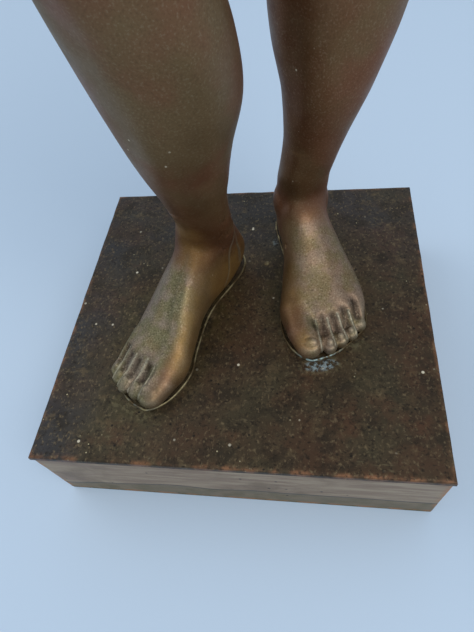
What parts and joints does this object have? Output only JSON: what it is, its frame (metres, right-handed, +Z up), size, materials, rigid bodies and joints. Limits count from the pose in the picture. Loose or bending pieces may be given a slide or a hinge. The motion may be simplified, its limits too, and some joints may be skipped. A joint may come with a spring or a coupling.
{
  "type": "bronze statuette",
  "caption": "Standing barefoot figure in a short belted tunic, cast in bronze in sections, on a hollow rectangular bronze plinth.",
  "frame": {"origin": "centre of the plinth's underside, on the surface it stands on", "axes": "+Z up; the figure faces -Y; its left side is +X"},
  "size_m": [0.185, 0.176, 0.7],
  "materials": {
    "figure_bronze": "satin brown and olive patina, worn orange-brown on high spots",
    "plinth_top_bronze": "satin dark brown mottled patina with fine pits and light specks",
    "plinth_wall_bronze": "brushed grey-brown patina, darker at the edges",
    "braze": "dull worn braze",
    "inner_brass": "as cast, unpatinated",
    "fixing_brass": "machined",
    "felt": "pressed felt"
  },
  "bodies": {
    "root": {"plinth_top": "plinth_top_bronze", "plinth_front_wall": "plinth_wall_bronze", "plinth_back_wall": "plinth_wall_bronze", "plinth_left_wall": "plinth_wall_bronze", "plinth_right_wall": "plinth_wall_bronze", "plinth_corner_blocks": "inner_brass", "plinth_plug": "braze", "felt_front": "felt", "felt_back": "felt", "felt_left": "felt", "felt_right": "felt", "right_leg": "figure_bronze", "left_leg": "figure_bronze", "right_foot_bead": "braze", "left_foot_bead": "braze", "right_foot_stud": "fixing_brass", "left_foot_stud": "fixing_brass", "right_foot_dowel": "fixing_brass", "left_foot_dowel": "fixing_brass", "right_foot_washer": "fixing_brass", "left_foot_washer": "fixing_brass", "right_foot_lock_washer": "fixing_brass", "left_foot_lock_washer": "fixing_brass", "right_foot_nut": "fixing_brass", "left_foot_nut": "fixing_brass", "left_ankle_plug": "braze", "skirt": "figure_bronze", "torso": "figure_bronze", "waist_sleeve": "inner_brass", "right_arm": "figure_bronze", "left_arm": "figure_bronze", "head": "figure_bronze", "right_hip_spigot": "fixing_brass", "left_hip_spigot": "fixing_brass", "right_hip_pin": "fixing_brass", "left_hip_pin": "fixing_brass", "right_shoulder_spigot": "fixing_brass", "left_shoulder_spigot": "fixing_brass", "right_shoulder_pin": "fixing_brass", "left_shoulder_pin": "fixing_brass", "neck_spigot": "fixing_brass", "neck_pin": "fixing_brass"}
  },
  "joints": []
}
